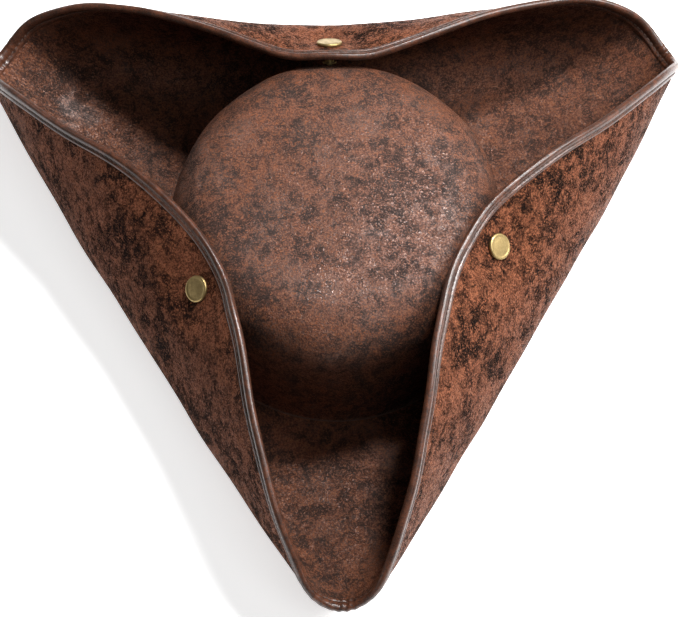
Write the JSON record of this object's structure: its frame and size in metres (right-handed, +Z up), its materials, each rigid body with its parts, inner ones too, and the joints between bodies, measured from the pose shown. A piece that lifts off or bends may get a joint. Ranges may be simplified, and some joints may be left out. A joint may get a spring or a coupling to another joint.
{
  "type": "tricorn pirate hat",
  "caption": "Three-cornered hat with a moulded oval crown and a stiff brim snapped up in three flaps that fold down.",
  "frame": {"origin": "centre of the head opening, in the plane of the brim's underside", "axes": "+Z up through the crown; the single front corner points to -Y; +X to the right as seen from the front corner looking towards +Y"},
  "size_m": [0.4222, 0.3682, 0.1002],
  "materials": {
    "distressed_leather": "cracked faux leather, satin",
    "stiffener_board": "dense felt board, matt",
    "lining_cloth": "plain woven lining",
    "sweatband_tape": "ribbed band",
    "brass": "aged satin brass",
    "thread": "waxed thread"
  },
  "bodies": {
    "root": {"brim_base_stiffener": "stiffener_board", "brim_base_top_cover": "distressed_leather", "brim_base_under_cover": "distressed_leather", "corner_hem_front": "distressed_leather", "corner_hem_left": "distressed_leather", "corner_hem_right": "distressed_leather", "crown_lining": "lining_cloth", "crown_seam_stitching": "thread", "crown_shell": "distressed_leather", "crown_stiffener": "stiffener_board", "snap_post_back": "brass", "snap_post_left": "brass", "snap_post_right": "brass", "snap_stud_back": "brass", "snap_stud_left": "brass", "snap_stud_right": "brass", "sweatband": "sweatband_tape"},
    "left_flap": {"outer_cover_left": "distressed_leather", "flap_stiffener_left": "stiffener_board", "inner_cover_left": "distressed_leather", "rim_hem_left": "distressed_leather", "rim_stitching_left": "thread", "snap_cap_left": "brass", "snap_socket_left": "brass"},
    "right_flap": {"outer_cover_right": "distressed_leather", "flap_stiffener_right": "stiffener_board", "inner_cover_right": "distressed_leather", "rim_hem_right": "distressed_leather", "rim_stitching_right": "thread", "snap_cap_right": "brass", "snap_socket_right": "brass"},
    "back_flap": {"outer_cover_back": "distressed_leather", "flap_stiffener_back": "stiffener_board", "inner_cover_back": "distressed_leather", "rim_hem_back": "distressed_leather", "rim_stitching_back": "thread", "snap_cap_back": "brass", "snap_socket_back": "brass"}
  },
  "joints": [
    {"name": "left_flap_fold", "type": "hinge", "parent": "root", "child": "left_flap", "pos_m": [-0.10229, -0.05906, 0.00838], "axis": [0.5, -0.866, 0], "range_deg": [0, 70]},
    {"name": "right_flap_fold", "type": "hinge", "parent": "root", "child": "right_flap", "pos_m": [0.10229, -0.05906, 0.00838], "axis": [0.5, 0.866, 0], "range_deg": [0, 70]},
    {"name": "back_flap_fold", "type": "hinge", "parent": "root", "child": "back_flap", "pos_m": [0, 0.13321, 0.01029], "axis": [-1, 0, 0], "range_deg": [0, 70]}
  ]
}
